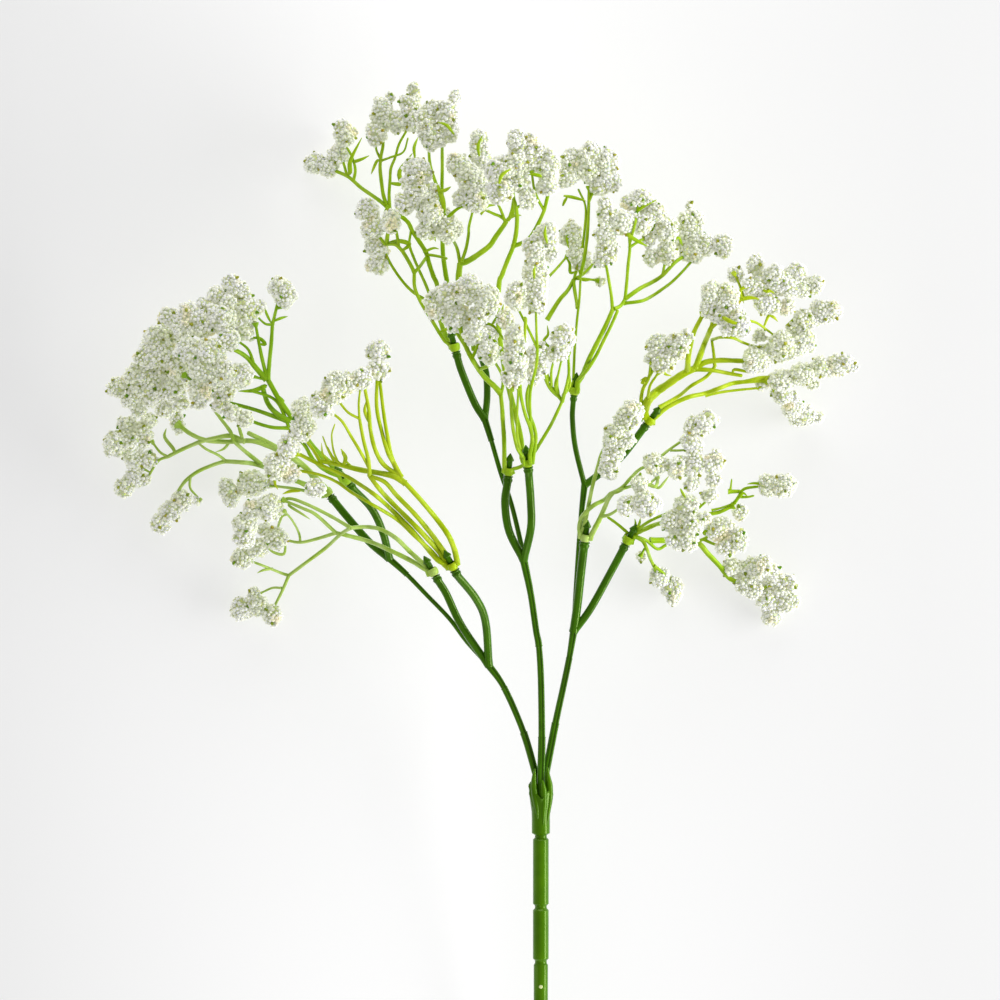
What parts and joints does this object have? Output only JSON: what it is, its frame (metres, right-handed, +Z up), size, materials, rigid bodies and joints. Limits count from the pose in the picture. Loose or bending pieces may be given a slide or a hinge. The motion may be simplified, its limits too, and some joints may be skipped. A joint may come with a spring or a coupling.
{
  "type": "artificial gypsophila stem",
  "caption": "Branching artificial gypsophila stem lying flat: moulded green stem, forked arms, slip-on sprays and heads of white foam-bead blossom.",
  "frame": {"origin": "on the table under the middle of the foot print", "axes": "+Y up the stem from its cut end to the flower heads, +X to the right seen from above, +Z up from the table"},
  "size_m": [0.25, 0.4378, 0.0785],
  "materials": {
    "stem_green": "moulded polyethylene, satin",
    "wire_steel": "drawn wire",
    "arm_green": "moulded polyethylene, dark green, satin",
    "spray_green": "moulded polyethylene, yellow-green, translucent satin",
    "bead_white": "foam beads on a glued core, matt"
  },
  "bodies": {
    "root": {"arm_left": "arm_green", "arm_middle": "arm_green", "arm_right": "arm_green", "blossoms_left_1_a": "bead_white", "blossoms_left_1_b": "bead_white", "blossoms_left_1_c": "bead_white", "blossoms_left_2_a": "bead_white", "blossoms_left_2_b": "bead_white", "blossoms_left_2_c": "bead_white", "blossoms_left_3_a": "bead_white", "blossoms_left_3_b": "bead_white", "blossoms_left_3_c": "bead_white", "blossoms_left_3_d": "bead_white", "blossoms_left_4_a": "bead_white", "blossoms_left_4_b": "bead_white", "blossoms_left_4_c": "bead_white", "blossoms_middle_1_a": "bead_white", "blossoms_middle_1_b": "bead_white", "blossoms_middle_2_a": "bead_white", "blossoms_middle_2_b": "bead_white", "blossoms_middle_2_c": "bead_white", "blossoms_middle_2_d": "bead_white", "blossoms_middle_3_a": "bead_white", "blossoms_middle_3_b": "bead_white", "blossoms_middle_3_c": "bead_white", "blossoms_middle_3_d": "bead_white", "blossoms_middle_4_a": "bead_white", "blossoms_middle_4_b": "bead_white", "blossoms_middle_4_c": "bead_white", "blossoms_right_1_a": "bead_white", "blossoms_right_1_b": "bead_white", "blossoms_right_1_c": "bead_white", "blossoms_right_2_a": "bead_white", "blossoms_right_2_b": "bead_white", "blossoms_right_2_c": "bead_white", "blossoms_right_2_d": "bead_white", "blossoms_right_2_e": "bead_white", "blossoms_right_3_a": "bead_white", "blossoms_right_3_b": "bead_white", "blossoms_right_3_c": "bead_white", "blossoms_right_3_d": "bead_white", "blossoms_right_4_a": "bead_white", "blossoms_right_4_b": "bead_white", "blossoms_right_4_c": "bead_white", "blossoms_right_4_d": "bead_white", "blossoms_right_4_e": "bead_white", "main_stem": "stem_green", "spray_left_1": "spray_green", "spray_left_2": "spray_green", "spray_left_3": "spray_green", "spray_left_4": "spray_green", "spray_middle_1": "spray_green", "spray_middle_2": "spray_green", "spray_middle_3": "spray_green", "spray_middle_4": "spray_green", "spray_right_1": "spray_green", "spray_right_2": "spray_green", "spray_right_3": "spray_green", "spray_right_4": "spray_green", "stem_wire": "wire_steel"}
  },
  "joints": []
}
